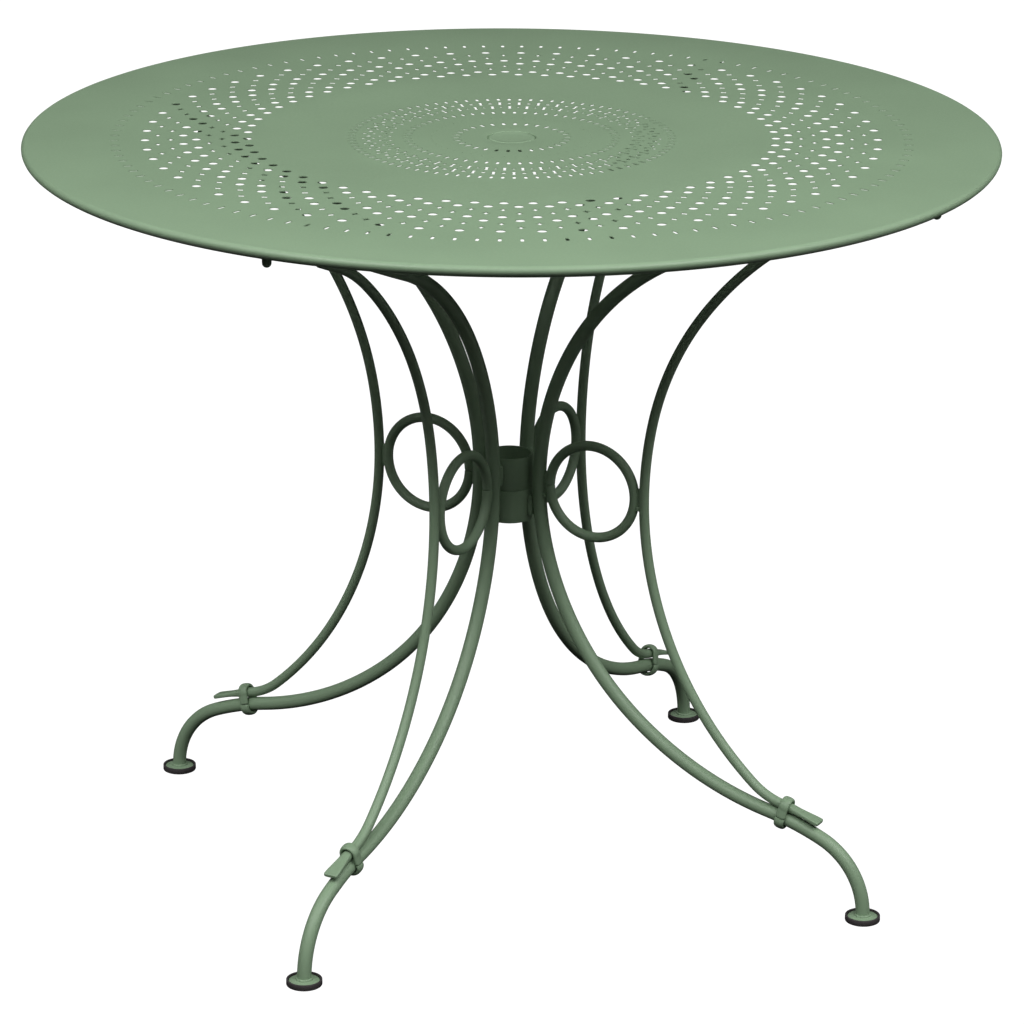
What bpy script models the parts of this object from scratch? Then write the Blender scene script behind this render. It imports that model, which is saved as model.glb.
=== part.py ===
"""Round garden bistro table of painted steel on four curved rod legs.

Frame: metres, +Z up, origin on the floor under the middle of the top.
Leg 1 stands along +X, leg 2 along +Y, leg 3 along -X and leg 4 along -Y.
Legs 1 and 3 are welded to the lower hub sleeve, legs 2 and 4 to the upper.
Run with: blender --background --python part.py
"""
import math

import bmesh
import bpy
from mathutils import Matrix, Vector

# ---------------------------------------------------------------- dimensions
GAP = 0.0003                # clearance between touching pieces

TABLE_H = 0.745             # floor to the top face
TOP_R = 0.4755              # over the rolled edge
SHEET_T = 0.0010            # steel sheet of the top
ROLL_R = 0.0055             # outer radius of the rolled edge
ROLL_TURN = 280             # degrees that the edge is rolled through

HOLE_R = 0.0190             # parasol hole, to the middle of its drawn wall
HOLE_WALL = 0.0060          # depth of that wall below the seat
SEAT_R = 0.0236             # recess around the hole, for the plug
SEAT_DEPTH = 0.0026
SEAT_BEND = 0.0016          # size of the pressed corners

PLUG_R = 0.0231
PLUG_BELOW_TOP = 0.0004     # the plug's rim lies this far below the top face
PLUG_EDGE = 0.0005
PLUG_DISH = 0.0008
SKIRT_R = 0.0180
SKIRT_T = 0.0014
SKIRT_H = 0.0130
SKIRT_TAPER = 0.0004

LEG_R = 0.0070              # main rod of a leg
BRACE_R = 0.0050            # slimmer outer rod
SCROLL_ROD_R = 0.0050       # rod of the ring between the two
SCROLL_R = 0.0472           # centre line of that ring
SCROLL_AT = (0.0932, 0.3943)

# Bend lists. Each rod starts upright at its waist and is bent in its own
# vertical plane. A row is (length in mm, turn in degrees).
LEG_WAIST = (0.0337, 0.397)
LEG_UP = [(149, -29.5), (180, -39.5), (143, 2.0), (115, -22.4), (8, -0.6)]
LEG_DOWN = [(105, 20.5), (162, 30.5), (165, 28.0), (62, -12.0), (90, -67.0)]
BRACE_WAIST = (0.151, 0.396)
BRACE_UP = [(76, -11.3), (131, -24.6), (101, -16.0), (59, -17.4), (31, 1.6)]
BRACE_DOWN = [(45, 7.3), (121, 18.7), (146, 23.5), (36, 27.4), (44, -5.0)]

TONGUE_L = 0.034            # hammered lower end of the brace
TONGUE_T = 0.0048
TONGUE_W = 0.0150
EYE_L = 0.030               # hammered upper end of the leg rod
EYE_T = 0.0046
EYE_W = 0.0170
HAMMER_FILL = 1.6           # how soon a hammered end reaches its full width

HUB_R = 0.0235              # sleeves that the parasol pole passes through
HUB_BORE_R = 0.0211
HUB_H = 0.0335              # height of one sleeve
HUB_JOINT_Z = 0.3865        # where the two sleeves meet
WELD_W = 0.007              # welded lug between a sleeve and a leg
WELD_H = 0.019

COLLAR_AT = 0.311           # collar that ties the brace to the leg
COLLAR_W = 0.010
COLLAR_T = 0.0050

FOOT_R = 0.0150             # steel disc under each leg
FOOT_T = 0.0030
FOOT_RIM_T = 0.00165        # thickness left at the disc's edge
FOOT_CROWN_R = 0.0093       # flat middle of the disc, under the rod
GLIDE_R = 0.0174            # rubber glide around the disc
GLIDE_EDGE = 0.0006

BOSS_AT = 0.4515            # fixing of the top on each leg
BOSS_R = 0.0070
BOSS_LIFT = 0.0014          # clears the rod, which swells away from its eye
BOLT_R = 0.0030
BOLT_HEAD_R = 0.0044        # domed head
BOLT_COLLAR_H = 0.0036      # upright part of the head, above its dome
BOLT_GAP = 0.0006           # bolt tip to the sheet, and head to the rod

# ------------------------------------------------------------- mesh fineness
ROD_SIDES = 8
LEG_STEP = 0.030            # longest straight facet along a leg
BRACE_STEP = 0.024
MAX_TURN = math.radians(12)
TOP_STEPS = 72
ROLL_STEPS = 8
PLUG_STEPS = 32
HUB_STEPS = 32
SCROLL_STEPS = 28
COLLAR_STEPS = 8            # facets around each rod, and of the section
FOOT_STEPS = 24
BOLT_STEPS = 16
DOME_STEPS = 4
SHARP_ANGLE = math.radians(35)

# -------------------------------------------------------------------- colours
GREEN = (0.255, 0.365, 0.245)
RUBBER = (0.022, 0.022, 0.023)


# -------------------------------------------------------------------- helpers
def clear_scene():
    for obj in list(bpy.data.objects):
        bpy.data.objects.remove(obj, do_unlink=True)


def make_material(name, colour=GREEN, rough=0.45):
    mat = bpy.data.materials.new(name)
    mat.use_nodes = True
    bsdf = mat.node_tree.nodes["Principled BSDF"]
    bsdf.inputs["Base Color"].default_value = (*colour, 1.0)
    bsdf.inputs["Roughness"].default_value = rough
    mat.diffuse_color = (*colour, 1.0)
    return mat


def finish_mesh(bm, name, mat):
    """Turns a bmesh into a smooth-shaded object with one material."""
    bmesh.ops.recalc_face_normals(bm, faces=bm.faces)
    mesh = bpy.data.meshes.new(name)
    bm.to_mesh(mesh)
    bm.free()
    mesh.shade_smooth()
    mesh.set_sharp_from_angle(angle=SHARP_ANGLE)
    mesh.materials.append(mat)
    obj = bpy.data.objects.new(name, mesh)
    bpy.context.scene.collection.objects.link(obj)
    return obj


def spin_closed(bm, geom, axis, steps):
    bmesh.ops.spin(
        bm,
        geom=geom,
        axis=axis,
        cent=(0, 0, 0),
        angle=math.tau,
        steps=steps,
        use_merge=True,
    )
    bmesh.ops.remove_doubles(bm, verts=bm.verts, dist=1e-6)


def turned(name, profile, steps, mat, centre_x=0.0):
    """Revolves (radius, height) points about an upright axis.

    A profile that starts and ends on the axis gives a full solid. Any other
    profile is closed into a loop and gives a ring.
    """
    bm = bmesh.new()
    verts = [bm.verts.new((r, 0.0, z)) for r, z in profile]
    edges = [bm.edges.new(pair) for pair in zip(verts, verts[1:])]
    if profile[0][0] > 0.0:
        edges.append(bm.edges.new((verts[-1], verts[0])))
    spin_closed(bm, verts + edges, (0, 0, 1), steps)
    bmesh.ops.translate(bm, vec=(centre_x, 0.0, 0.0), verts=bm.verts)
    return finish_mesh(bm, name, mat)


def skin_pair(bm, low, high):
    """Faces between two rings of vertices."""
    for k in range(len(low)):
        n = (k + 1) % len(low)
        bm.faces.new((low[k], low[n], high[n], high[k]))


def add_boolean(obj, cutter, operation):
    cutter.hide_render = True
    cutter.display_type = "WIRE"
    mod = obj.modifiers.new(cutter.name, "BOOLEAN")
    mod.operation = operation
    mod.solver = "EXACT"
    mod.object = cutter


# ----------------------------------------------------------------- bent rods
def follow_bends(start, heading, rows, step):
    """Follows a bend list and gives stations of (x, z, heading)."""
    x, z = start
    angle = math.radians(heading)
    stations = [(x, z, angle)]
    for length_mm, degrees in rows:
        length = length_mm / 1000
        turn = math.radians(degrees)
        count = max(2, round(length / step), round(abs(turn) / MAX_TURN))
        for _ in range(count):
            middle = angle + turn / count / 2
            x += length / count * math.cos(middle)
            z += length / count * math.sin(middle)
            angle += turn / count
            stations.append((x, z, angle))
    return stations


def rod_path(waist, up, down, step):
    """Stations of a whole rod, from its lower end to its upper one."""
    upper = follow_bends(waist, 90.0, up, step)
    lower = follow_bends(waist, 270.0, down, step)
    lower = [(x, z, a - math.pi) for x, z, a in reversed(lower)]
    return lower + upper[1:]


LEG_PATH = rod_path(LEG_WAIST, LEG_UP, LEG_DOWN, LEG_STEP)
BRACE_PATH = rod_path(BRACE_WAIST, BRACE_UP, BRACE_DOWN, BRACE_STEP)


def leg_station(radius, upper):
    """Where a leg passes a distance from the axis, above or below its waist."""
    for a, b in zip(LEG_PATH, LEG_PATH[1:]):
        above = min(a[1], b[1]) >= LEG_WAIST[1]
        if above == upper and (a[0] - radius) * (b[0] - radius) <= 0:
            t = (radius - a[0]) / (b[0] - a[0])
            return tuple(p + (q - p) * t for p, q in zip(a, b))
    raise ValueError(f"the leg never passes {radius}")


def distance_to_brace(x, z):
    """Shortest distance from a point of the leg's plane to the brace."""
    here = Vector((x, z))
    best = math.inf
    for a, b in zip(BRACE_PATH, BRACE_PATH[1:]):
        start = Vector(a[:2])
        run = Vector(b[:2]) - start
        t = min(max((here - start).dot(run) / run.length_squared, 0.0), 1.0)
        best = min(best, (here - start - run * t).length)
    return best


def hammered(path, radius, length, thickness, width):
    """Stations of a rod whose first end is hammered flat over a length."""
    stations = []
    run = 0.0
    for i, (x, z, a) in enumerate(path):
        if i:
            run += math.dist(path[i - 1][:2], (x, z))
        left = min(max(1.0 - run / length, 0.0), 1.0)
        flat = min(HAMMER_FILL * left * left * (3 - 2 * left), 1.0)
        thick = radius + (thickness / 2 - radius) * flat
        wide = radius + (width / 2 - radius) * flat
        stations.append((x, z, a, thick, wide))
    return stations


def swept(name, stations, mat):
    """Skins a path in the XZ plane, with flat ends.

    A station is (x, z, heading, half thickness in the plane, half width).
    """
    bm = bmesh.new()
    rings = []
    for x, z, heading, thick, wide in stations:
        normal = Vector((-math.sin(heading), 0.0, math.cos(heading)))
        ring = []
        for k in range(ROD_SIDES):
            a = math.tau * k / ROD_SIDES
            at = Vector((x, 0.0, z)) + normal * (thick * math.cos(a))
            at.y = wide * math.sin(a)
            ring.append(bm.verts.new(at))
        rings.append(ring)
    for low, high in zip(rings, rings[1:]):
        skin_pair(bm, low, high)
    bm.faces.new(rings[0])
    bm.faces.new(rings[-1])
    return finish_mesh(bm, name, mat)


# ------------------------------------------------------------------- tabletop
def sheet_loop(centre, thickness):
    """Closed outline of a sheet whose middle follows the given points."""
    above = []
    below = []
    for i, point in enumerate(centre):
        before = Vector(centre[max(i - 1, 0)])
        after = Vector(centre[min(i + 1, len(centre) - 1)])
        along = (after - before).normalized()
        normal = Vector((-along.y, along.x)) * thickness / 2
        above.append(tuple(Vector(point) + normal))
        below.append(tuple(Vector(point) - normal))
    return above + below[::-1]


def build_tabletop():
    """Sheet disc with a rolled edge and a seat pressed around its hole."""
    mid = TABLE_H - SHEET_T / 2
    seat = mid - SEAT_DEPTH
    centre = [
        (HOLE_R, seat - HOLE_WALL),
        (HOLE_R, seat - SEAT_BEND),
        (HOLE_R + SEAT_BEND, seat),
        (SEAT_R, seat),
        (SEAT_R + SEAT_BEND, (seat + 2 * mid) / 3),
        (SEAT_R + 2 * SEAT_BEND, mid),
    ]
    roll = ROLL_R - SHEET_T / 2
    for k in range(ROLL_STEPS + 1):
        a = math.radians(90 - ROLL_TURN * k / ROLL_STEPS)
        x = TOP_R - ROLL_R + roll * math.cos(a)
        z = TABLE_H - ROLL_R + roll * math.sin(a)
        centre.append((x, z))
    mat = make_material("tabletop")
    turned("tabletop", sheet_loop(centre, SHEET_T), TOP_STEPS, mat)


def build_parasol_plug():
    """Cap of the parasol hole, flush in its seat. It lifts straight out."""
    rim = TABLE_H - PLUG_BELOW_TOP
    under = TABLE_H - SEAT_DEPTH + GAP
    foot = under - SKIRT_H
    bore = SKIRT_R - SKIRT_TAPER - SKIRT_T
    profile = [
        (0.0, rim - PLUG_DISH),
        (PLUG_R * 0.70, rim - PLUG_DISH * 0.7),
        (PLUG_R * 0.86, rim),
        (PLUG_R - PLUG_EDGE, rim),
        (PLUG_R, rim - PLUG_EDGE),
        (PLUG_R, under),
        (SKIRT_R, under),
        (SKIRT_R - SKIRT_TAPER, foot),
        (bore, foot),
        (bore, under),
        (0.0, under),
    ]
    turned("parasol_plug", profile, PLUG_STEPS, make_material("parasol_plug"))


# ------------------------------------------------------------------------ hub
def build_hub_sleeve(name, low, high, first_quarter):
    """Short tube with a welded lug toward each of its two opposite legs."""
    mat = make_material(name)
    profile = [(HUB_BORE_R, high), (HUB_R, high), (HUB_R, low), (HUB_BORE_R, low)]
    sleeve = turned(name, profile, HUB_STEPS, mat)
    root = (HUB_R + HUB_BORE_R) / 2
    reach = LEG_WAIST[0] - LEG_R - GAP
    for quarter in (first_quarter, first_quarter + 2):
        bm = bmesh.new()
        bmesh.ops.create_cube(bm, size=1.0)
        size = Matrix.Diagonal((reach - root, WELD_W, WELD_H, 1.0))
        place = Matrix.Translation(((reach + root) / 2, 0.0, (low + high) / 2))
        spin = Matrix.Rotation(quarter * math.pi / 2, 4, "Z")
        bmesh.ops.transform(bm, matrix=spin @ place @ size, verts=bm.verts)
        add_boolean(sleeve, finish_mesh(bm, f"{name}_lug_{quarter}", mat), "UNION")


# ----------------------------------------------------------------- leg pieces
def build_leg_rod(number):
    """Main rod; its upper end is a flat eye for the bolt of the top."""
    mat = make_material(f"leg_rod_{number}")
    stations = hammered(LEG_PATH[::-1], LEG_R, EYE_L, EYE_T, EYE_W)
    rod = swept(f"leg_rod_{number}", stations, mat)
    bm = bmesh.new()
    bmesh.ops.create_cone(
        bm,
        cap_ends=True,
        segments=BOLT_STEPS,
        radius1=BOLT_R + GAP,
        radius2=BOLT_R + GAP,
        depth=4 * LEG_R,
    )
    height = leg_station(BOSS_AT, upper=True)[1]
    bmesh.ops.translate(bm, vec=(BOSS_AT, 0.0, height), verts=bm.verts)
    drill = finish_mesh(bm, f"bolt_drill_{number}", mat)
    add_boolean(rod, drill, "DIFFERENCE")
    return [rod, drill]


def build_brace_rod(number):
    """Slim rod whose lower end is hammered into a flat, wider tongue."""
    stations = hammered(BRACE_PATH, BRACE_R, TONGUE_L, TONGUE_T, TONGUE_W)
    name = f"brace_rod_{number}"
    return [swept(name, stations, make_material(name))]


def build_scroll_ring(number):
    """Rod ring that fills the waist between leg and brace."""
    bm = bmesh.new()
    bmesh.ops.create_circle(bm, segments=ROD_SIDES, radius=SCROLL_ROD_R)
    bmesh.ops.translate(bm, vec=(SCROLL_R, 0.0, 0.0), verts=bm.verts)
    spin_closed(bm, list(bm.verts) + list(bm.edges), (0, 1, 0), SCROLL_STEPS)
    bmesh.ops.translate(bm, vec=(SCROLL_AT[0], 0.0, SCROLL_AT[1]), verts=bm.verts)
    name = f"scroll_ring_{number}"
    return [finish_mesh(bm, name, make_material(name))]


def belt_outline(spread):
    """Belt line around the leg rod, below, and the brace, above it."""
    low_r = LEG_R + GAP + COLLAR_T / 2
    high_r = BRACE_R + GAP + COLLAR_T / 2
    lean = math.asin((low_r - high_r) / spread)
    points = []
    for k in range(COLLAR_STEPS + 1):
        a = math.pi + lean + (math.pi - 2 * lean) * k / COLLAR_STEPS
        points.append((low_r * math.cos(a), low_r * math.sin(a) - spread / 2))
    for k in range(COLLAR_STEPS):
        a = (math.pi + 2 * lean) * k / (COLLAR_STEPS - 1) - lean
        points.append((high_r * math.cos(a), high_r * math.sin(a) + spread / 2))
    return points


def build_collar(number):
    """Rounded band wrapped around the leg and the brace where they meet."""
    x, z, heading = leg_station(COLLAR_AT, upper=False)
    normal = Vector((-math.sin(heading), 0.0, math.cos(heading)))
    if normal.z < 0:
        normal.negate()
    along = Vector((0.0, 1.0, 0.0)).cross(normal)
    spread = distance_to_brace(x, z)
    middle = Vector((x, 0.0, z)) + normal * spread / 2
    outline = belt_outline(spread)
    bm = bmesh.new()
    rings = []
    for i, (across, up) in enumerate(outline):
        before = Vector(outline[i - 1])
        after = Vector(outline[(i + 1) % len(outline)])
        run = (after - before).normalized()
        ring = []
        for k in range(COLLAR_STEPS):
            a = math.tau * (k + 0.5) / COLLAR_STEPS
            out = COLLAR_T / 2 * math.cos(a)
            at = middle + normal * (up - run.x * out)
            at += along * (COLLAR_W / 2 * math.sin(a))
            at.y = across + run.y * out
            ring.append(bm.verts.new(at))
        rings.append(ring)
    for low, high in zip(rings, rings[1:] + rings[:1]):
        skin_pair(bm, low, high)
    name = f"collar_{number}"
    return [finish_mesh(bm, name, make_material(name))]


def build_foot(number):
    """Steel disc welded under the rod, and the rubber glide around it."""
    x, rod_end, _ = LEG_PATH[0]
    top = rod_end - GAP
    low = top - FOOT_T
    disc_profile = [
        (0.0, top),
        (FOOT_CROWN_R, top),
        (FOOT_R, low + FOOT_RIM_T),
        (FOOT_R, low),
        (0.0, low),
    ]
    name = f"foot_disc_{number}"
    disc = turned(name, disc_profile, FOOT_STEPS, make_material(name), x)

    bore = FOOT_R + GAP
    rim = top + GAP
    glide_profile = [
        (0.0, low - GAP),
        (bore, low - GAP),
        (bore, rim),
        (GLIDE_R - GLIDE_EDGE, rim),
        (GLIDE_R, rim - GLIDE_EDGE),
        (GLIDE_R, GLIDE_EDGE),
        (GLIDE_R - GLIDE_EDGE, 0.0),
        (0.0, 0.0),
    ]
    name = f"foot_glide_{number}"
    rubber = make_material(name, RUBBER, rough=0.7)
    return [disc, turned(name, glide_profile, FOOT_STEPS, rubber, x)]


def build_top_fixing(number):
    """Threaded boss under the sheet, and the bolt through the leg into it."""
    height = leg_station(BOSS_AT, upper=True)[1]
    sheet = TABLE_H - SHEET_T
    boss_low = height + EYE_T / 2 + BOSS_LIFT
    boss_profile = [
        (BOLT_R + GAP, sheet - GAP),
        (BOSS_R, sheet - GAP),
        (BOSS_R, boss_low),
        (BOLT_R + GAP, boss_low),
    ]
    name = f"top_boss_{number}"
    boss = turned(name, boss_profile, BOLT_STEPS, make_material(name), BOSS_AT)

    tip = sheet - BOLT_GAP
    seat = height - EYE_T / 2 - BOLT_GAP
    bolt_profile = [(0.0, tip), (BOLT_R, tip), (BOLT_R, seat), (BOLT_HEAD_R, seat)]
    for k in range(DOME_STEPS):
        a = math.pi / 2 * k / DOME_STEPS
        z = seat - BOLT_COLLAR_H - BOLT_HEAD_R * math.sin(a)
        bolt_profile.append((BOLT_HEAD_R * math.cos(a), z))
    bolt_profile.append((0.0, seat - BOLT_COLLAR_H - BOLT_HEAD_R))
    name = f"top_bolt_{number}"
    bolt = turned(name, bolt_profile, BOLT_STEPS, make_material(name), BOSS_AT)
    return [boss, bolt]


def build_leg(number):
    """All pieces of one leg, modelled along +X and turned to their place."""
    pieces = build_leg_rod(number)
    pieces += build_brace_rod(number)
    pieces += build_scroll_ring(number)
    pieces += build_collar(number)
    pieces += build_foot(number)
    pieces += build_top_fixing(number)
    for piece in pieces:
        piece.rotation_euler.z = (number - 1) * math.pi / 2


def main():
    clear_scene()
    build_tabletop()
    build_parasol_plug()
    joint = HUB_JOINT_Z
    build_hub_sleeve("hub_sleeve_lower", joint - HUB_H, joint - GAP / 2, 0)
    build_hub_sleeve("hub_sleeve_upper", joint + GAP / 2, joint + HUB_H, 1)
    for number in (1, 2, 3, 4):
        build_leg(number)


main()
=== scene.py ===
"""Looks of the round bistro table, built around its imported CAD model.

Metres, +Z up, origin on the floor under the middle of the top. Leg 1 stands
along +X, leg 2 along +Y, leg 3 along -X and leg 4 along -Y. The pieces of a
leg are made in leg 1's place, in the XZ plane, then turned to their own leg.
Hole shapes, profiles and hammered ends are listed in millimetres.
"""
import math
import random

import bmesh
import bpy
from mathutils import Matrix, Vector


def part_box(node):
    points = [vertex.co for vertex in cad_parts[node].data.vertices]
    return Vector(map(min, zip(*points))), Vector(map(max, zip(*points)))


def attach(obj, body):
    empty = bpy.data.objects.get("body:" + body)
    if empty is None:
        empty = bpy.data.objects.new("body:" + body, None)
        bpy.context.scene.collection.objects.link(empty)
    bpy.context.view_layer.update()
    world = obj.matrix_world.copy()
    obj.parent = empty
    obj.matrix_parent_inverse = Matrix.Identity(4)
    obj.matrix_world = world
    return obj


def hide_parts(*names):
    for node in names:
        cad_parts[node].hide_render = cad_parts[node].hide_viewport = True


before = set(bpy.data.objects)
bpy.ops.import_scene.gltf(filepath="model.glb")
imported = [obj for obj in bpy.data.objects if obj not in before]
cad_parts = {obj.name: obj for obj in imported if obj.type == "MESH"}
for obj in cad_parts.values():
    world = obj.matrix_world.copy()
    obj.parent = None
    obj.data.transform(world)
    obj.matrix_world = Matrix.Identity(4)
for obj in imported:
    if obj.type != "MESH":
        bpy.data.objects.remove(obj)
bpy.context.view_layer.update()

LEGS = (1, 2, 3, 4)
MM = 0.001
SHARP = 32                  # degrees between faces that meet in a visible edge

# -------------------------------------------------- sizes read from the frame
TOP_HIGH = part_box("tabletop")[1]
TOP_Z = TOP_HIGH[2]
TOP_R = TOP_HIGH[0]

# -------------------------------------------- bent rods, as the CAD bends them
# A rod starts at its waist, (distance from the axis, height), and follows rows
# of (length in mm, degrees turned) upward and downward.
LEG_R = 7.0 * MM
LEG_WAIST = (0.0337, 0.397)
LEG_UP = [(149, -29.5), (180, -39.5), (143, 2.0), (115, -22.4), (8, -0.6)]
LEG_DOWN = [(105, 20.5), (162, 30.5), (165, 28.0), (62, -12.0), (90, -67.0)]
BRACE_R = 5.0 * MM
BRACE_WAIST = (0.151, 0.396)
BRACE_UP = [(76, -11.3), (131, -24.6), (101, -16.0), (59, -17.4), (31, 1.6)]
BRACE_DOWN = [(45, 7.3), (121, 18.7), (146, 23.5), (36, 27.4), (44, -5.0)]
ROD_STEP = 5.0 * MM
SCROLL_AT = (0.0932, 0.3943)
SCROLL_R = 47.2 * MM
SCROLL_ROD_R = 5.0 * MM
COLLAR_AT = 0.311           # where along the leg, from the axis
BOSS_AT = 0.4515            # from the axis


# -------------------------------------------------------------------- helpers
def finish_mesh(
    bm, name, mat, node=None, slot="green_paint", body="table", sharp=SHARP
):
    """Turns a bmesh into a piece that rides on a body."""
    bmesh.ops.recalc_face_normals(bm, faces=bm.faces)
    mesh = bpy.data.meshes.new(name)
    bm.to_mesh(mesh)
    bm.free()
    mesh.shade_smooth()
    mesh.set_sharp_from_angle(angle=math.radians(sharp))
    mesh.materials.append(mat)
    piece = bpy.data.objects.new(name, mesh)
    bpy.context.scene.collection.objects.link(piece)
    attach(piece, body)
    if node:
        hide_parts(node)
    return piece


def leg_turn(number):
    """Turn from leg 1's place to a leg's own."""
    return Matrix.Rotation((number - 1) * math.pi / 2, 4, "Z")


def heights(box):
    """Lowest and highest z of a box from the frame."""
    low, high = box
    return low[2], high[2]


def in_metres(profile, base=0.0):
    """Rows of (radius, height above the base), from millimetres to metres."""
    return [(r * MM, base + z * MM) for r, z in profile]


def skin_pair(bm, low, high):
    """Joins two closed loops of vertices with quads."""
    for k in range(len(low)):
        n = (k + 1) % len(low)
        bm.faces.new((low[k], low[n], high[n], high[k]))


def add_tube(bm, rings, closed=False):
    """Skins rings of points; open tubes get flat ends."""
    loops = [[bm.verts.new(p) for p in ring] for ring in rings]
    for low, high in zip(loops, loops[1:]):
        skin_pair(bm, low, high)
    if closed:
        skin_pair(bm, loops[-1], loops[0])
    else:
        bm.faces.new(loops[0])
        bm.faces.new(loops[-1])


def add_turned(bm, profile, steps, x=0.0):
    """Adds a turned body: a solid from axis to axis, or else a ring."""
    verts = [bm.verts.new((r, 0.0, z)) for r, z in profile]
    edges = [bm.edges.new(pair) for pair in zip(verts, verts[1:])]
    if profile[0][0] > 0.0:
        edges.append(bm.edges.new((verts[-1], verts[0])))
    bmesh.ops.spin(
        bm,
        geom=verts + edges,
        axis=(0, 0, 1),
        cent=(0, 0, 0),
        angle=math.tau,
        steps=steps,
        use_merge=True,
    )
    bmesh.ops.remove_doubles(bm, verts=bm.verts, dist=1e-6)
    bmesh.ops.translate(bm, vec=(x, 0.0, 0.0), verts=bm.verts)


def finish_turned(profile, name, mat, node, steps, number=1, x=0.0, **more):
    """A turned piece that stands on a leg's line, at x from the axis."""
    bm = bmesh.new()
    add_turned(bm, profile, steps, x)
    bm.transform(leg_turn(number))
    finish_mesh(bm, name, mat, node, **more)


def power(value, exponent):
    """A power that keeps the sign."""
    return math.copysign(abs(value) ** exponent, value)


def oval(k, count, half_u, half_v, roundness=2.0):
    """Point k of a superellipse; roundness 2 is an ellipse, 5 nearly a box."""
    a = math.tau * k / count
    u = half_u * power(math.cos(a), 2 / roundness)
    v = half_v * power(math.sin(a), 2 / roundness)
    return u, v


def follow_bends(start, heading, rows):
    """Follows a bend list and gives stations of (x, z, heading)."""
    x, z = start
    angle = math.radians(heading)
    stations = [(x, z, angle)]
    for length_mm, degrees in rows:
        count = round(length_mm * MM / ROD_STEP)
        step = length_mm * MM / count
        turn = math.radians(degrees) / count
        for _ in range(count):
            x += step * math.cos(angle + turn / 2)
            z += step * math.sin(angle + turn / 2)
            angle += turn
            stations.append((x, z, angle))
    return stations


def rod_path(waist, up, down):
    """Stations of a whole rod, from its foot to its upper end."""
    upper = follow_bends(waist, 90.0, up)
    lower = follow_bends(waist, 270.0, down)
    lower = [(x, z, a - math.pi) for x, z, a in reversed(lower)]
    return lower + upper[1:]


LEG_PATH = rod_path(LEG_WAIST, LEG_UP, LEG_DOWN)
BRACE_PATH = rod_path(BRACE_WAIST, BRACE_UP, BRACE_DOWN)


def station_along(path, run):
    """Point and heading at a distance along a path."""
    for a, b in zip(path, path[1:]):
        length = math.dist(a[:2], b[:2])
        if run <= length:
            t = run / length
            return tuple(p + (q - p) * t for p, q in zip(a, b))
        run -= length
    return path[-1]


def low_leg_station(radius):
    """Where a leg's lower half passes a distance from the axis."""
    half = [p for p in LEG_PATH if p[1] <= LEG_WAIST[1]]
    for a, b in zip(half, half[1:]):
        if (a[0] - radius) * (b[0] - radius) <= 0:
            t = (radius - a[0]) / (b[0] - a[0])
            return tuple(p + (q - p) * t for p, q in zip(a, b))
    raise ValueError(f"the leg never passes {radius}")


# ------------------------------------------------------------------ materials
CLOUD_SCALE = 9.0           # faint mottling, a few patches across a bar's length
GRAIN_SCALE = 1400.0        # fine grain in the colour
GRAIN_SHARE = 0.45          # how much the grain adds to the mottling
SKIN_SCALE = 420.0          # orange-peel skin: uneven sheen and bump
SKIN_HEIGHT = 0.0004


def node_of(tree, kind, **sockets):
    """A new shader node with constants on its inputs."""
    node = tree.nodes.new(kind)
    for name, value in sockets.items():
        node.inputs[name.replace("_", " ")].default_value = value
    return node


def calculate(tree, operation, *values):
    """A math node; each input is a socket or a number."""
    node = tree.nodes.new("ShaderNodeMath")
    node.operation = operation
    for socket, value in zip(node.inputs, values):
        if isinstance(value, float):
            socket.default_value = value
        else:
            tree.links.new(value, socket)
    return node.outputs[0]


def coat_material(name, colour, vary, rough, peel):
    """Satin coating: slight mottling, uneven sheen and an orange-peel skin."""
    mat = bpy.data.materials.new(name)
    mat.use_nodes = True
    tree = mat.node_tree
    link = tree.links.new
    bsdf = tree.nodes["Principled BSDF"]
    bsdf.inputs["IOR"].default_value = 1.5
    where = tree.nodes.new("ShaderNodeTexCoord")
    noise = "ShaderNodeTexNoise"
    cloud = node_of(tree, noise, Scale=CLOUD_SCALE, Detail=4.0)
    grain = node_of(tree, noise, Scale=GRAIN_SCALE, Detail=2.0)
    skin = node_of(tree, noise, Scale=SKIN_SCALE, Detail=3.0, Roughness=0.6)
    for texture in (cloud, grain, skin):
        link(where.outputs["Object"], texture.inputs["Vector"])

    fine, coarse = grain.outputs["Fac"], cloud.outputs["Fac"]
    both = calculate(tree, "MULTIPLY_ADD", fine, GRAIN_SHARE, coarse)
    ramp = tree.nodes.new("ShaderNodeValToRGB")
    stops = ramp.color_ramp.elements
    for stop, position, share in zip(stops, (0.45, 1.0), (1 - vary, 1 + vary)):
        stop.position = position
        stop.color = (*[c * share for c in colour], 1.0)
    link(both, ramp.inputs["Fac"])
    link(ramp.outputs["Color"], bsdf.inputs["Base Color"])

    sheen = node_of(
        tree,
        "ShaderNodeMapRange",
        From_Min=0.3,
        From_Max=0.7,
        To_Min=rough[0],
        To_Max=rough[1],
    )
    link(skin.outputs["Fac"], sheen.inputs["Value"])
    link(sheen.outputs["Result"], bsdf.inputs["Roughness"])

    bump = node_of(tree, "ShaderNodeBump", Strength=peel, Distance=SKIN_HEIGHT)
    link(skin.outputs["Fac"], bump.inputs["Height"])
    link(bump.outputs["Normal"], bsdf.inputs["Normal"])
    return mat


GREEN = coat_material(
    "green_powder_coat",
    colour=(0.264, 0.385, 0.245),
    vary=0.05,
    rough=(0.40, 0.52),
    peel=0.10,
)
RUBBER = coat_material(
    "black_rubber",
    colour=(0.050, 0.044, 0.046),
    vary=0.18,
    rough=(0.55, 0.75),
    peel=0.3,
)


# ------------------------------------------------------------------- tabletop
CIRCLE = 720                # points on every full circle of the punched sheet
PATTERN_TURN = math.radians(0.33)
SHEET_T = 0.8 * MM

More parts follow.
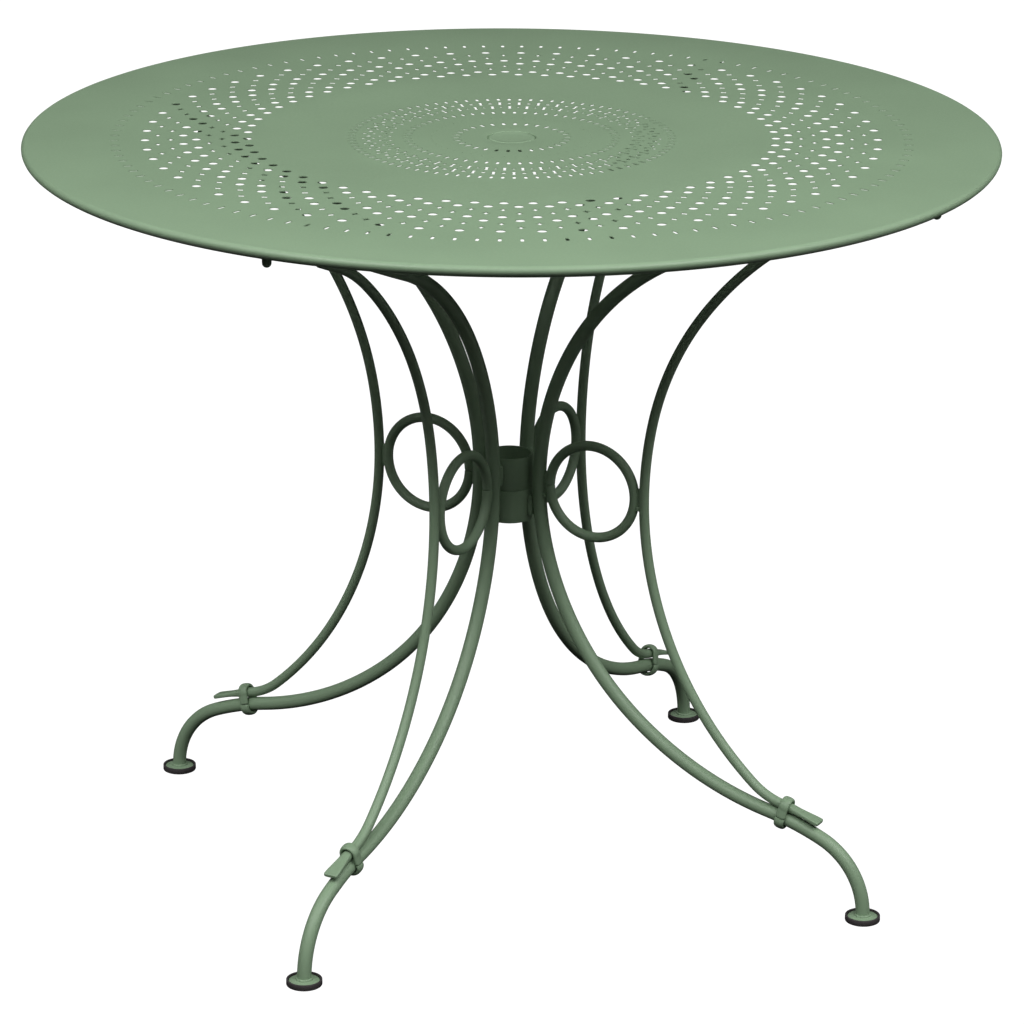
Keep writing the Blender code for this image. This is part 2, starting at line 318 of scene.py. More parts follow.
# Holes: half length along a radius, half width across it, and roundness.
ROUND = (4.5, 4.7, 2.0)
STAR = (4.8, 4.8, 0.7)      # four points
LONG_SLOT = (4.9, 1.7, 4.0)
SLOT = (4.4, 1.7, 3.0)
WAISTED = (6.2, 3.1, 4.5)
WAIST_PINCH = 0.64          # share of the width that the waist takes away
OVAL = (2.6, 2.5, 2.2)
DOT = (2.2, 1.8, 2.0)
TILE = (4.5, 1.7, 2.6)
PIN = (0.9, 0.7, 2.0)
SHORT_SLOT = (4.5, 1.9, 2.6)

# Rows of holes: radius in mm, pitch and phase in half degrees, and hole.
SHORT_SLOTS = (54.0, 24, 14, SHORT_SLOT)
PINS = (78.0, 16, 11, PIN)
TILES = (101.5, 12, 6, TILE)
WAISTED_B = (123.5, 16, 15, WAISTED)
DOTS_B = (123.5, 16, 7, DOT)
WAISTED_A = (139.5, 16, 7, WAISTED)
DOTS_A = (139.5, 16, 15, OVAL)
FINE_SLOTS = (156.0, 8, 7, SLOT)
OUTER_RINGS = [
    (257.0, 12, 6, ROUND),
    (269.5, 12, 0, ROUND),
    (281.5, 12, 6, STAR),
    (294.3, 12, 0, STAR),
    (306.3, 12, 6, ROUND),
    (319.2, 12, 0, ROUND),
    (331.0, 12, 6, STAR),
    (343.8, 12, 0, STAR),
    (355.8, 12, 6, ROUND),
]
EDGE_SLOTS = (385.6, 6, 0, LONG_SLOT)

# The middle of the sheet lies lower by DISH. On the slope down to it, each
# radius in mm has its share of that depth.
DISH = 2.1 * MM
DISH_SHARE = {178.0: 0.93, 192.0: 0.75, 207.0: 0.5, 222.0: 0.25, 236.0: 0.07}
DISH_END = 250.6
MIDDLE_Z = TOP_Z - DISH

# Rolled edge. Past the flat it reaches ROLL_REACH radii out, and its lower side
# draws in by ROLL_LEAN radii.
ROLL_R = 6.0 * MM
ROLL_TURN = 280
ROLL_STEPS = 20
ROLL_LEAN = 0.8
ROLL_REACH = 0.856
FLAT_END = (TOP_R - ROLL_REACH * ROLL_R) / MM

# Bands of the flat from the middle out: outer radius in mm, rows of holes, and
# points on each straight side of a cell.
FLAT_START = 45.0
OUTER_END = 362.4
INNER_BANDS = [
    (48.5, [], 0),
    (60.0, [SHORT_SLOTS], 4),
    (74.0, [], 0),
    (82.0, [PINS], 4),
    (94.5, [], 0),
    (108.5, [TILES], 4),
    (115.5, [], 0),
    (131.5, [WAISTED_B, DOTS_B], 6),
    (148.5, [WAISTED_A, DOTS_A], 6),
    (164.0, [FINE_SLOTS], 4),
]
EDGE_BANDS = [
    (378.0, [], 0),
    (393.0, [EDGE_SLOTS], 5),
    (FLAT_END, [], 0),
]

# Pressed seat around the parasol hole, with rounded corners: radius, and height
# above the sheet's middle.
SEAT_STRIDE = 6             # half degrees between its points
SEAT = [
    (38.0, 0.0),
    (24.5, 0.0),
    (24.2, -0.04),
    (24.0, -0.18),
    (23.9, -0.45),
    (23.8, -2.0),
    (23.65, -2.4),
    (23.35, -2.6),
    (20.4, -2.6),
    (19.5, -2.8),
    (18.8, -3.5),
    (18.5, -4.6),
    (18.5, -9.4),
]

# Cap of the parasol hole: radius, and height above its rim.
PLUG_RIM_Z = MIDDLE_Z - 0.05 * MM
PLUG = [
    (0.0, -0.80),
    (12.0, -0.72),
    (16.0, -0.60),
    (18.6, -0.32),
    (20.0, -0.10),
    (20.9, 0.0),
    (21.6, -0.08),
    (22.3, -0.35),
    (22.8, -0.75),
    (23.1, -1.30),
    (23.1, -2.05),
    (22.9, -2.25),
    (18.0, -2.25),
    (17.6, -14.85),
    (17.3, -15.25),
    (16.4, -15.25),
    (16.2, -14.95),
    (16.2, -2.25),
    (0.0, -2.25),
]


def sheet_z(r_mm):
    """Height of the sheet's upper face: level outside, level again inside."""
    if r_mm >= DISH_END:
        return TOP_Z
    return TOP_Z - DISH * DISH_SHARE.get(r_mm, 1.0)


class Sheet:
    """Upper face of the sheet, tiled with cells that each hold one hole."""

    def __init__(self):
        self.bm = bmesh.new()
        self.shared = {}

    def vert(self, r_mm, index):
        """The one vertex at a radius and a half degree."""
        key = (round(r_mm * 1000), index % CIRCLE)
        if key not in self.shared:
            a = math.tau * key[1] / CIRCLE + PATTERN_TURN
            r = r_mm * MM
            at = (r * math.cos(a), r * math.sin(a), sheet_z(r_mm))
            self.shared[key] = self.bm.verts.new(at)
        return self.shared[key]

    def cell(self, low, high, r_mm, index, width, shape, side_steps):
        """One tile from radius low to high with a hole in its middle."""
        first = index - width // 2
        last = index + width // 2
        side = [low + (high - low) * k / side_steps for k in range(side_steps + 1)]
        loop = [self.vert(low, i) for i in range(first, last)]
        loop += [self.vert(r, last) for r in side[:-1]]
        loop += [self.vert(high, i) for i in range(last, first, -1)]
        loop += [self.vert(r, first) for r in side[:0:-1]]
        turns = []
        for corner, steps in zip((-135, -45, 45, 135), (width, side_steps) * 2):
            turns += [corner + 90 * k / steps for k in range(steps)]
        a = math.tau * index / CIRCLE + PATTERN_TURN
        out = Vector((math.cos(a), math.sin(a), 0.0))
        along = Vector((-math.sin(a), math.cos(a), 0.0))
        centre = out * r_mm * MM
        centre.z = sheet_z(r_mm)
        half_u, half_v, roundness = shape
        hole = []
        for turn in turns:
            c = math.cos(math.radians(turn))
            s = math.sin(math.radians(turn))
            u = power(s, 2 / roundness)
            v = half_v * power(c, 2 / roundness)
            if shape is WAISTED:
                v *= 1 - WAIST_PINCH * (1 - u * u)
            at = centre + out * (half_u * u * MM) + along * (v * MM)
            hole.append(self.bm.verts.new(at))
        skin_pair(self.bm, loop, hole)

    def punched(self, low, high, rows, side_steps):
        """A full band of cells; its rows share the circle between them."""
        for r_mm, pitch, phase, shape in rows:
            width = pitch // len(rows)
            for index in range(phase, phase + CIRCLE, pitch):
                self.cell(low, high, r_mm, index, width, shape, side_steps)

    def plain(self, low, high):
        """A full band without holes."""
        loops = [[self.vert(r, i) for i in range(CIRCLE)] for r in (low, high)]
        skin_pair(self.bm, *loops)

    def lathe(self, points, stride, ring=None):
        """Adds turned bands; points are (radius, height).

        They start from the given ring, and its far end is returned. Without
        one they start from the first point, and that first ring is returned.
        """
        loops = [ring] if ring else []
        for r, z in points:
            loop = []
            for i in range(0, CIRCLE, stride):
                a = math.tau * i / CIRCLE + PATTERN_TURN
                loop.append(self.bm.verts.new((r * math.cos(a), r * math.sin(a), z)))
            loops.append(loop)
        for low, high in zip(loops, loops[1:]):
            skin_pair(self.bm, low, high)
        return loops[0] if ring is None else loops[-1]


def add_flat(sheet):
    """All bands between the seat and the rolled edge."""
    bands = list(INNER_BANDS)
    bands += [(radius, [], 0) for radius in (*DISH_SHARE, DISH_END)]
    ends = [(a[0] + b[0]) / 2 for a, b in zip(OUTER_RINGS, OUTER_RINGS[1:])]
    for end, row in zip(ends + [OUTER_END], OUTER_RINGS):
        bands.append((end, [row], 6))
    low = FLAT_START
    for high, rows, side_steps in bands + EDGE_BANDS:
        if rows:
            sheet.punched(low, high, rows, side_steps)
        else:
            sheet.plain(low, high)
        low = high


def add_roll(sheet):
    """Rolls the sheet's edge under."""
    roll = []
    for k in range(1, ROLL_STEPS + 1):
        a = math.radians(90 - ROLL_TURN * k / ROLL_STEPS)
        deep = (1 - math.sin(a)) / 2
        out = math.cos(a) - ROLL_REACH - ROLL_LEAN * deep * deep
        roll.append((TOP_R + ROLL_R * out, TOP_Z - 2 * ROLL_R * deep))
    sheet.lathe(roll, 1, [sheet.vert(FLAT_END, i) for i in range(CIRCLE)])


def add_seat(sheet):
    """Presses the seat; its coarser outer ring is then joined to the flat."""
    ring = sheet.lathe(in_metres(SEAT, MIDDLE_Z), SEAT_STRIDE)
    for k, vert in enumerate(ring):
        start = k * SEAT_STRIDE
        edge = [sheet.vert(FLAT_START, start + i) for i in range(SEAT_STRIDE + 1)]
        sheet.bm.faces.new([vert, *edge, ring[(k + 1) % len(ring)]])


def thicken(piece):
    """Gives an open sheet its thickness, downward from its upper face."""
    if sum(p.normal.z * p.area for p in piece.data.polygons) <= 0:
        piece.data.flip_normals()
    solid = piece.modifiers.new("thickness", "SOLIDIFY")
    solid.thickness = SHEET_T
    solid.offset = -1.0
    graph = bpy.context.evaluated_depsgraph_get()
    thick = bpy.data.meshes.new_from_object(piece.evaluated_get(graph))
    piece.modifiers.clear()
    piece.data = thick
    thick.name = piece.name
    thick.set_sharp_from_angle(angle=math.radians(SHARP))


def build_top_sheet():
    sheet = Sheet()
    add_flat(sheet)
    add_roll(sheet)
    add_seat(sheet)
    thicken(finish_mesh(sheet.bm, "top_sheet", GREEN, "tabletop"))


def build_plug():
    """Cap of the parasol hole: shallow dish, soft rim, tapered skirt."""
    profile = in_metres(PLUG, PLUG_RIM_Z)
    finish_turned(
        profile, "plug_cap", GREEN, "parasol_plug", steps=96, body="plug"
    )


# ------------------------------------------------------------------------ hub
SLEEVE_BORE = 21.1 * MM
SLEEVE_OUTER = 23.5 * MM
SLEEVE_EDGE = 0.45 * MM     # bevel of its outer edges
SLEEVE_CREST = 0.3          # the bevel's middle stands off the corner, in bevels
SLEEVE_BORE_EDGE = 0.6      # bevel of the bore's edges, in outer bevels


def build_sleeves():
    """The two tubes, one above the other, that the parasol's pole passes."""
    bore, outer, edge = SLEEVE_BORE, SLEEVE_OUTER, SLEEVE_EDGE
    crest = edge * SLEEVE_CREST
    inner = edge * SLEEVE_BORE_EDGE
    for name in ("hub_sleeve_lower", "hub_sleeve_upper"):
        z0, z1 = heights(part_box(name))
        profile = [
            (bore + inner, z1),
            (outer - edge, z1),
            (outer - crest, z1 - crest),
            (outer, z1 - edge),
            (outer, z0 + edge),
            (outer - crest, z0 + crest),
            (outer - edge, z0),
            (bore + inner, z0),
            (bore, z0 + inner),
            (bore, z1 - inner),
        ]
        finish_turned(profile, name + "_tube", GREEN, name, steps=96)


# ----------------------------------------------------------------- leg pieces
ROD_SIDES = 24
BAND_SIDES = 20             # of the scroll ring and the collar

# Hammered ends: (distance from the tip, half thickness, half width,
# roundness). The eye ends a leg rod under the top, the tongue a brace below.
EYE = [
    (0.0, 1.7, 5.4, 3.0),
    (0.4, 2.0, 6.6, 3.0),
    (1.2, 2.2, 7.6, 3.4),
    (2.6, 2.3, 8.3, 4.0),
    (5.0, 2.3, 8.5, 4.6),
    (9.0, 2.4, 8.4, 4.6),
    (13.0, 2.9, 8.1, 4.0),
    (18.0, 4.1, 7.7, 3.2),
    (24.0, 5.8, 7.3, 2.5),
    (31.0, 7.0, 7.0, 2.0),
]
TONGUE = [
    (0.0, 1.5, 5.9, 5.0),
    (0.3, 1.8, 6.7, 5.0),
    (0.9, 2.05, 7.2, 5.0),
    (2.0, 2.15, 7.45, 5.0),
    (5.0, 2.2, 7.4, 5.0),
    (10.0, 2.25, 7.0, 5.0),
    (16.0, 2.35, 6.4, 4.6),
    (22.0, 2.7, 5.8, 4.0),
    (27.0, 3.4, 5.4, 3.2),
    (32.0, 4.4, 5.15, 2.4),
    (37.0, 5.0, 5.0, 2.0),
]


def section(x, z, heading, thick, wide, roundness=2.0):
    """Ring of points across a path in the XZ plane."""
    normal = Vector((-math.sin(heading), 0.0, math.cos(heading)))
    ring = []
    for k in range(ROD_SIDES):
        u, v = oval(k, ROD_SIDES, thick, wide, roundness)
        at = Vector((x, 0.0, z)) + normal * u
        at.y = v
        ring.append(at)
    return ring


def hammered(path, table, radius):
    """Sections of a rod whose first end is hammered to the given table."""
    rings = []
    for run, thick, wide, roundness in table:
        x, z, a = station_along(path, run * MM)
        rings.append(section(x, z, a, thick * MM, wide * MM, roundness))
    reach = 0.0
    for before, here in zip(path, path[1:]):
        reach += math.dist(before[:2], here[:2])
        if reach > table[-1][0] * MM + ROD_STEP / 2:
            rings.append(section(*here, radius, radius))
    return rings


def finish_bar(number, rings, name, node):
    """A bar of a leg, skinned over its sections."""
    bm = bmesh.new()
    add_tube(bm, rings)
    bm.transform(leg_turn(number))
    finish_mesh(bm, name, GREEN, node)


def build_leg_rod(number):
    rings = hammered(LEG_PATH[::-1], EYE, LEG_R)
    finish_bar(number, rings, f"leg_bar_{number}", f"leg_rod_{number}")


def build_brace(number):
    rings = hammered(BRACE_PATH, TONGUE, BRACE_R)
    finish_bar(number, rings, f"brace_bar_{number}", f"brace_rod_{number}")


SCROLL_STEPS = 108
SCROLL_GAP = 0.35 * MM      # each end stops this far from where they would meet
# Rounding of a sawn end: (distance from it, share of the bar's radius).
SAWN_END = [(0.0, 0.90), (0.35, 0.97), (0.8, 1.0)]


def scroll_stations():
    """Angles around the ring, each with its share of the bar's radius."""
    gap = SCROLL_GAP / SCROLL_R
    first = math.pi + gap
    last = first + math.tau - 2 * gap
    start = [(first + run * MM / SCROLL_R, share) for run, share in SAWN_END]
    end = [(last - run * MM / SCROLL_R, share) for run, share in SAWN_END[::-1]]
    between = []
    for k in range(1, SCROLL_STEPS):
        between.append((first + (last - first) * k / SCROLL_STEPS, 1.0))
    return start + between + end


def build_scroll(number):
    """Ring of bar whose two ends butt together beside the leg."""
    centre = Vector((SCROLL_AT[0], 0.0, SCROLL_AT[1]))
    rings = []
    for a, share in scroll_stations():
        out = Vector((math.cos(a), 0.0, math.sin(a)))
        radius = SCROLL_ROD_R * share
        ring = []
        for k in range(BAND_SIDES):
            u, v = oval(k, BAND_SIDES, radius, radius)
            at = centre + out * (SCROLL_R + u)
            at.y = v
            ring.append(at)
        rings.append(ring)
    finish_bar(number, rings, f"scroll_bar_{number}", f"scroll_ring_{number}")


COLLAR_T = 4.6 * MM
COLLAR_W = 10.4 * MM
COLLAR_ROUNDNESS = 2.5
COLLAR_INSIDE = 0.82        # its inner half is flatter by this share
COLLAR_END = 0.90           # its ends are smaller by this share
COLLAR_SEAM = 1.0 * MM
COLLAR_SEAM_AT = 0.30       # how far up the flank from the leg to the brace
COLLAR_GAP = 0.25 * MM      # clearance around the two bars
COLLAR_STEPS = 84
BELT_STEPS = 200            # fine points on each of the belt's two arcs


def belt(low_r, high_r, spread):
    """Even points along a belt around two circles, from seam to seam."""
    lean = math.asin((low_r - high_r) / spread)
    dense = []
    for k in range(BELT_STEPS):
        a = math.pi + lean + (math.pi - 2 * lean) * k / (BELT_STEPS - 1)
        dense.append((low_r * math.cos(a), low_r * math.sin(a) - spread / 2))
    for k in range(BELT_STEPS):
        a = (math.pi + 2 * lean) * k / (BELT_STEPS - 1) - lean
        dense.append((high_r * math.cos(a), high_r * math.sin(a) + spread / 2))
    seam = Vector(dense[0]).lerp(Vector(dense[-1]), COLLAR_SEAM_AT)
    points = [seam] + [Vector(p) for p in dense] + [seam]
    runs = [0.0]
    for a, b in zip(points, points[1:]):
        runs.append(runs[-1] + (b - a).length)
    total = runs[-1] - COLLAR_SEAM
    even = []
    i = 0
    for k in range(COLLAR_STEPS):
        run = COLLAR_SEAM / 2 + total * k / (COLLAR_STEPS - 1)
        while runs[i + 1] < run and i < len(runs) - 2:
            i += 1
        t = (run - runs[i]) / max(runs[i + 1] - runs[i], 1e-9)
        even.append(points[i].lerp(points[i + 1], t))
    return even


def build_collar(number):
    """Rounded bar bent around leg and brace, its ends almost meeting."""
    x, z, heading = low_leg_station(COLLAR_AT)
    normal = Vector((-math.sin(heading), 0.0, math.cos(heading)))
    if normal.z < 0:
        normal.negate()
    along = Vector((0.0, 1.0, 0.0)).cross(normal)
    spread = min(math.dist((x, z), p[:2]) for p in BRACE_PATH)
    middle = Vector((x, 0.0, z)) + normal * spread / 2
    clear = COLLAR_GAP + COLLAR_T / 2
    points = belt(LEG_R + clear, BRACE_R + clear, spread)
    flank = -1 if number in (1, 2) else 1
    last = COLLAR_STEPS - 1
    rings = []
    for i, point in enumerate(points):
        run = (points[min(i + 1, last)] - points[max(i - 1, 0)]).normalized()
        share = COLLAR_END if i in (0, last) else 1.0
        half_t = COLLAR_T / 2 * share
        half_w = COLLAR_W / 2 * share
        ring = []
        for k in range(BAND_SIDES):
            u, v = oval(k, BAND_SIDES, half_t, half_w, COLLAR_ROUNDNESS)
            if u < 0:
                u *= COLLAR_INSIDE
            at = middle + normal * (point.y - run.x * u) + along * v
            at.y = -flank * (point.x + run.y * u)
            ring.append(at)
        rings.append(ring)
    finish_bar(number, rings, f"collar_band_{number}", f"collar_{number}")


# Foot disc: radius, and height from its top (the face) or from its lowest level
# (the base).
FOOT_AT = LEG_PATH[0][0]
DISC_FACE = [
    (0.0, 0.0),
    (8.6, 0.0),
    (10.5, -0.35),
    (12.6, -1.00),
    (14.2, -1.30),
    (14.8, -1.55),
    (15.0, -1.95),
]
DISC_BASE = [(15.0, 0.2), (14.8, 0.0), (0.0, 0.0)]

# Rubber glide: radius, and height from the disc's lowest level (the recess),
# from the glide's own top (the rim) or from the floor (the base).
GLIDE_RECESS = [(0.0, -0.3), (15.3, -0.3)]
GLIDE_RIM = [
    (15.3, -0.5),
    (15.5, -0.15),
    (15.9, 0.0),
    (16.7, 0.0),
    (17.1, -0.15),
    (17.3, -0.5),
]
GLIDE_BASE = [(17.4, 1.0), (17.1, 0.3), (16.6, 0.0), (0.0, 0.0)]


def build_foot(number):
    """Dished steel disc in a rubber glide."""
    low, top = heights(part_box(f"foot_disc_{number}"))
    finish_turned(
        in_metres(DISC_FACE, top) + in_metres(DISC_BASE, low),
        f"foot_plate_{number}",
        GREEN,
        f"foot_disc_{number}",
        steps=64,
        number=number,
        x=FOOT_AT,
    )
    _, rim = heights(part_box(f"foot_glide_{number}"))
    recess = in_metres(GLIDE_RECESS, low)
    finish_turned(
        recess + in_metres(GLIDE_RIM, rim) + in_metres(GLIDE_BASE),
        f"rubber_cup_{number}",
        RUBBER,
        f"foot_glide_{number}",
        steps=72,
        number=number,
        x=FOOT_AT,
        slot="black_rubber",
    )


# Boss and bolt: radius, and height from the piece's upper end (the boss's top
# and the bolt's tip) or else from its lower end.
BOSS_TOP = [(3.3, 0.0), (7.0, 0.0)]
BOSS_BASE = [(7.0, 0.5), (6.5, 0.0), (3.6, 0.0), (3.3, 0.3)]
BOLT_TIP = [(0.0, 0.0), (2.6, 0.0), (3.0, -0.4)]
BOLT_SEAT = [(3.0, 8.0), (4.1, 8.0), (4.4, 7.7)]
BOLT_DOME_R = 4.4
BOLT_DOME_STEPS = 10


def build_fixing(number):
    """Threaded boss under the sheet, and a dome-headed bolt from below."""
    low, high = heights(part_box(f"top_boss_{number}"))
    finish_turned(
        in_metres(BOSS_TOP, high) + in_metres(BOSS_BASE, low),
        f"boss_{number}",
        GREEN,
        f"top_boss_{number}",
        steps=48,
        number=number,
        x=BOSS_AT,
    )
    low, high = heights(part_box(f"top_bolt_{number}"))
    dome = []
    for k in range(BOLT_DOME_STEPS):
        a = math.pi / 2 * k / BOLT_DOME_STEPS
        dome.append((BOLT_DOME_R * math.cos(a), BOLT_DOME_R * (1 - math.sin(a))))
    head = BOLT_SEAT + dome + [(0.0, 0.0)]
    finish_turned(
        in_metres(BOLT_TIP, high) + in_metres(head, low),
        f"dome_bolt_{number}",
        GREEN,
        f"top_bolt_{number}",
        steps=36,
        number=number,
        x=BOSS_AT,
    )


# ---------------------------------------------------------------- weld beads
WELD_SEED = 40
WELD_SHARP = 60
BEAD_SIDES = 12
BEAD_STEPS = 22
BEAD_TIP = 0.02             # keeps a bead's ends from closing to a point
RIPPLE = 0.10               # share of a bead's radius
RIPPLE_RATE = 2.2           # radians per mm along a bead
UNEVEN = (0.93, 1.05)       # drawn shares of a bead's radius
DRIFT = 0.08                # most a bead wanders, in radii

# Scroll ring: reach below and above its middle and radius of the bead beside
# the leg and of the one beside the brace, in mm; then the lump on each bead's
# lower end, as (aside, below the ring's middle).
RING_BEADS = [(15, 14, 3.0), (12, 12, 2.6)]
RING_LUMPS = [(-2.2, 14), (-1.8, 11)]
RING_BEAD_FLAT = 0.8
LUMP_LENGTH = 4.5 * MM
LUMP_R = 2.5 * MM
LUMP_STEPS = 10

HUB_BEAD_AT = 25.6 * MM     # from the axis, where sleeve and leg touch
HUB_BEAD_ASIDE = 3.6 * MM
HUB_BEAD_SHORT = 5 * MM     # stops this far from the sleeve's ends
HUB_BEAD_R = 2.9 * MM
HUB_BEAD_FLAT = 0.9

BRACE_BEAD_SHARE = 0.45     # its place between the brace's end and the leg
BRACE_BEAD_ASIDE = 3.4 * MM
BRACE_BEAD_RUN = 16 * MM    # down from the brace's end; a fifth of it up
BRACE_BEAD_R = 2.4 * MM

FOOT_BEAD_R = 1.5 * MM
FOOT_BEAD_UP = 0.2 * MM
FOOT_BEAD_STEPS = 40
FOOT_BEAD_SIDES = 8
FOOT_BEAD_LUMPS = 9
FOOT_BEAD_LUMP = 0.12       # height of a lump, in radii
FOOT_BEAD_UNEVEN = 0.06


def add_bead(bm, draw, start, end, radius, flat=1.0, count=BEAD_STEPS):
    """A lumpy weld bead along a straight line; flat squeezes it sideways."""
    start = Vector(start)
    end = Vector(end)
    length = (end - start).length
    axis = (end - start).normalized()
    side = axis.orthogonal().normalized()
    if abs(axis.z) > 0.5:
        side = Vector((1.0, 0.0, 0.0))
        side = (side - axis * side.dot(axis)).normalized()
    other = axis.cross(side)
    rings = []
    for i in range(count):
        t = i / (count - 1)
        taper = math.sqrt(max(1 - (2 * t - 1) ** 4, BEAD_TIP))
        ripple = 1 + RIPPLE * math.sin(t * length / MM * RIPPLE_RATE)
        size = radius * taper * ripple * draw.uniform(*UNEVEN)
        drift = other * radius * draw.uniform(-DRIFT, DRIFT)
        centre = start.lerp(end, t) + drift
        ring = []
        for k in range(BEAD_SIDES):
            u, v = oval(k, BEAD_SIDES, size, size * flat)
            ring.append(centre + side * u + other * v)
        rings.append(ring)
    add_tube(bm, rings)


def weld_scroll(bm, draw):
    """Scroll ring to leg rod and to brace: a bead and a lump at each."""
    x, z = SCROLL_AT
    reach = SCROLL_R + SCROLL_ROD_R
    sides = (x - reach, x + reach)
    for side, (below, above, radius) in zip(sides, RING_BEADS):
        low = (side, 0.0, z - below * MM)
        high = (side, 0.0, z + above * MM)
        add_bead(bm, draw, low, high, radius * MM, RING_BEAD_FLAT)
    for side, (aside, below) in zip(sides, RING_LUMPS):
        low = Vector((side, aside * MM, z - below * MM))
        high = low + Vector((0.0, 0.0, LUMP_LENGTH))
        add_bead(bm, draw, low, high, LUMP_R, count=LUMP_STEPS)


def weld_hub(bm, draw, number):
    """Hub sleeve to leg rod: one bead on each flank."""
    node = "hub_sleeve_lower" if number in (1, 3) else "hub_sleeve_upper"
    z0, z1 = heights(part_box(node))
    for flank in (-1, 1):
        y = flank * HUB_BEAD_ASIDE
        low = (HUB_BEAD_AT, y, z0 + HUB_BEAD_SHORT)
        high = (HUB_BEAD_AT, y, z1 - HUB_BEAD_SHORT)
        add_bead(bm, draw, low, high, HUB_BEAD_R, HUB_BEAD_FLAT)


def weld_brace(bm, draw):
    """Brace to leg rod under the top: one bead on each flank."""
    x, z, _ = BRACE_PATH[-1]
    upper = LEG_PATH[len(LEG_PATH) // 2:]
    near = min(upper, key=lambda p: math.dist(p[:2], (x, z)))
    leg = Vector((near[0], 0.0, near[1]))
    seam = Vector((x, 0.0, z)).lerp(leg, BRACE_BEAD_SHARE)
    run = Vector((math.cos(near[2]), 0.0, math.sin(near[2]))) * BRACE_BEAD_RUN
    for flank in (-1, 1):
        at = seam + Vector((0.0, flank * BRACE_BEAD_ASIDE, 0.0))
        add_bead(bm, draw, at - run, at + run / 5, BRACE_BEAD_R)


def weld_foot(bm, draw, number):
    """Leg rod to foot disc: a lumpy ring."""
    _, top = heights(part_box(f"foot_disc_{number}"))
    rings = []
    for k in range(FOOT_BEAD_STEPS):
        a = math.tau * k / FOOT_BEAD_STEPS
        uneven = draw.uniform(-FOOT_BEAD_UNEVEN, FOOT_BEAD_UNEVEN)
        lump = FOOT_BEAD_LUMP * math.sin(FOOT_BEAD_LUMPS * a)
        size = FOOT_BEAD_R * (1 + lump + uneven)
        ring = []
        for m in range(FOOT_BEAD_SIDES):
            u, v = oval(m, FOOT_BEAD_SIDES, size, size)
            r = LEG_R + u
            z = top + FOOT_BEAD_UP + v
            ring.append((FOOT_AT + r * math.cos(a), r * math.sin(a), z))
        rings.append(ring)
    add_tube(bm, rings, closed=True)


def build_welds(number):
    """All beads of one leg, as one piece beside the CAD's own."""
    draw = random.Random(WELD_SEED + number)
    bm = bmesh.new()
    weld_scroll(bm, draw)
    weld_hub(bm, draw, number)
    weld_brace(bm, draw)
    weld_foot(bm, draw, number)
    bm.transform(leg_turn(number))
    finish_mesh(bm, f"welds_{number}", GREEN, sharp=WELD_SHARP)


# -------------------------------------------------------------------- staging
CAM_AZ = -61.166            # degrees from +X
CAM_DIST = 4.2651
CAM_HEIGHT = 1.8095
CAM_PITCH = 18.803          # degrees, downward
CAM_YAW = -0.034
CAM_ROLL = -0.346
CAM_LENS = 158.2
CAM_SENSOR = 36.0

FLOOR_R = 60.0
FLOOR_GLOW = 1.1            # just white in the picture

# Softboxes: (toward the camera, to its right, height, height aimed at, side of
# the square in metres, power in watts). The last four stand on the floor.
SOFTBOXES = [
    (1.1, -0.85, 2.0, 0.745, 1.0, 10.6),
    (1.1, 0.85, 2.0, 0.745, 1.0, 10.8),
    (0.8, 2.2, 2.0, 0.4, 1.4, 7.6),
    (1.4, -1.6, 2.4, 0.4, 1.4, 7.4),
    (1.4, 1.6, 2.4, 0.4, 1.4, 7.0),
    (0.0, -2.3, 1.9, 0.4, 1.2, 3.4),
    (-0.6, 2.3, 1.9, 0.4, 1.2, 3.8),
    (0.9, 0.0, 0.01, 3.0, 0.6, 0.28),
    (-0.9, 0.0, 0.01, 3.0, 0.6, 0.28),
    (0.0, 0.9, 0.01, 3.0, 0.6, 0.28),
    (0.0, -0.9, 0.01, 3.0, 0.6, 0.28),
]
# World: a tall wall of light on the camera's side, a weaker copy of it behind,
# and a faint even glow. Rows are (height on the unit sphere, level).
WALL = [(-1.0, 0.0), (0.61, 0.0), (0.63, 6.0), (0.76, 6.0), (0.78, 0.0)]
WALL_BEHIND = 0.2
ROOM_GLOW = 0.01


def build_camera():
    pitch = math.radians(CAM_PITCH)
    ahead = Vector((0.0, math.cos(pitch), -math.sin(pitch)))
    right = Vector((1.0, 0.0, 0.0))
    down = ahead.cross(right)
    roll = math.radians(CAM_ROLL)
    right, down = (
        right * math.cos(roll) + down * math.sin(roll),
        down * math.cos(roll) - right * math.sin(roll),
    )
    basis = Matrix((right, -down, -ahead)).transposed().to_4x4()
    spin = Matrix.Rotation(math.radians(CAM_AZ + 90 + CAM_YAW), 4, "Z")
    a = math.radians(CAM_AZ)
    stand = (CAM_DIST * math.cos(a), CAM_DIST * math.sin(a), CAM_HEIGHT)
    data = bpy.data.cameras.new("camera")
    data.lens = CAM_LENS
    data.sensor_width = CAM_SENSOR
    data.clip_end = 200.0
    camera = bpy.data.objects.new("camera", data)
    bpy.context.scene.collection.objects.link(camera)
    camera.matrix_world = Matrix.Translation(stand) @ spin @ basis
    bpy.context.scene.camera = camera


